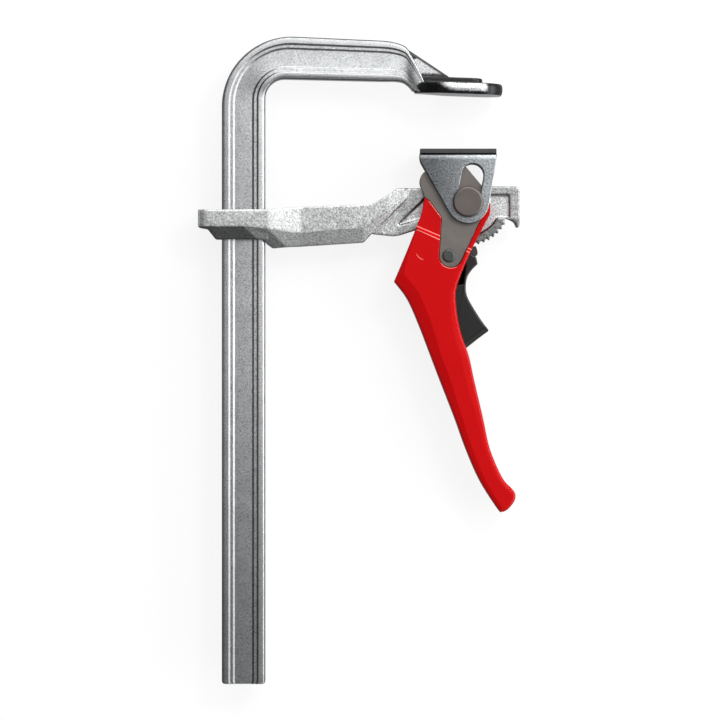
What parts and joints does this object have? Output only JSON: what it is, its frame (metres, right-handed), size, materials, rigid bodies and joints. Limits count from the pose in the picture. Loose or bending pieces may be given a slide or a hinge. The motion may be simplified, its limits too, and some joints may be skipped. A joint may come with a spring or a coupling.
{
  "type": "lever bar clamp",
  "caption": "All-steel lever bar clamp: bent grooved bar with a forged fixed jaw, sliding arm, and a red ratcheting cam lever that lifts a flat pressure pad.",
  "frame": {"origin": "middle of the fixed jaw's clamping face", "axes": "+Y up the bar from the sliding arm to the fixed jaw, +X out along the jaws away from the bar, +Z out of the broad face that shows the pin's flat head; the clamp lies on its side"},
  "size_m": [0.1927, 0.3882, 0.036],
  "materials": {
    "bar_steel": "satin drawn bar, plated",
    "forged_steel": "fine blasted forging, plated",
    "pin_steel": "plain turned steel",
    "washer_steel": "bright zinc",
    "cam_steel": "oiled, matt",
    "sheet_steel": "mottled zinc",
    "pad_steel": "dark, fine texture",
    "grip_red": "glossy",
    "trigger_black": "satin",
    "spring_steel": "bright wire"
  },
  "bodies": {
    "bar": {"bar": "bar_steel"},
    "arm": {"sliding_arm": "forged_steel", "pivot_pin": "pin_steel", "pivot_washer": "washer_steel"},
    "lever": {"lever_grip": "grip_red", "cam_cheek_front": "cam_steel", "cam_cheek_back": "cam_steel", "cheek_rivet": "pin_steel", "trigger_spring": "spring_steel"},
    "trigger": {"trigger": "trigger_black", "pawl": "pin_steel"},
    "bracket": {"pressure_bracket": "sheet_steel", "pressure_pad": "pad_steel"}
  },
  "joints": [
    {"name": "arm_slide", "type": "slide", "parent": "bar", "child": "arm", "axis": [0, 1, 0], "range_m": [-0.2175, 0.031]},
    {"name": "lever_swing", "type": "hinge", "parent": "arm", "child": "lever", "pos_m": [0.0057, -0.0643, 0], "axis": [0, 0, 1], "range_deg": [0, 47]},
    {"name": "trigger_pull", "type": "hinge", "parent": "lever", "child": "trigger", "pos_m": [-0.0056, -0.0965, 0], "axis": [0, 0, -1], "range_deg": [0, 10], "stiffness_Nm_per_rad": 0.08},
    {"name": "bracket_press", "type": "slide", "parent": "arm", "child": "bracket", "axis": [0.1805, 0.9836, 0], "range_m": [-0.0124, 0]}
  ],
  "couplings": [
    {"joint": "bracket_press", "follows": "lever_swing", "m_per_rad": -0.015029}
  ]
}
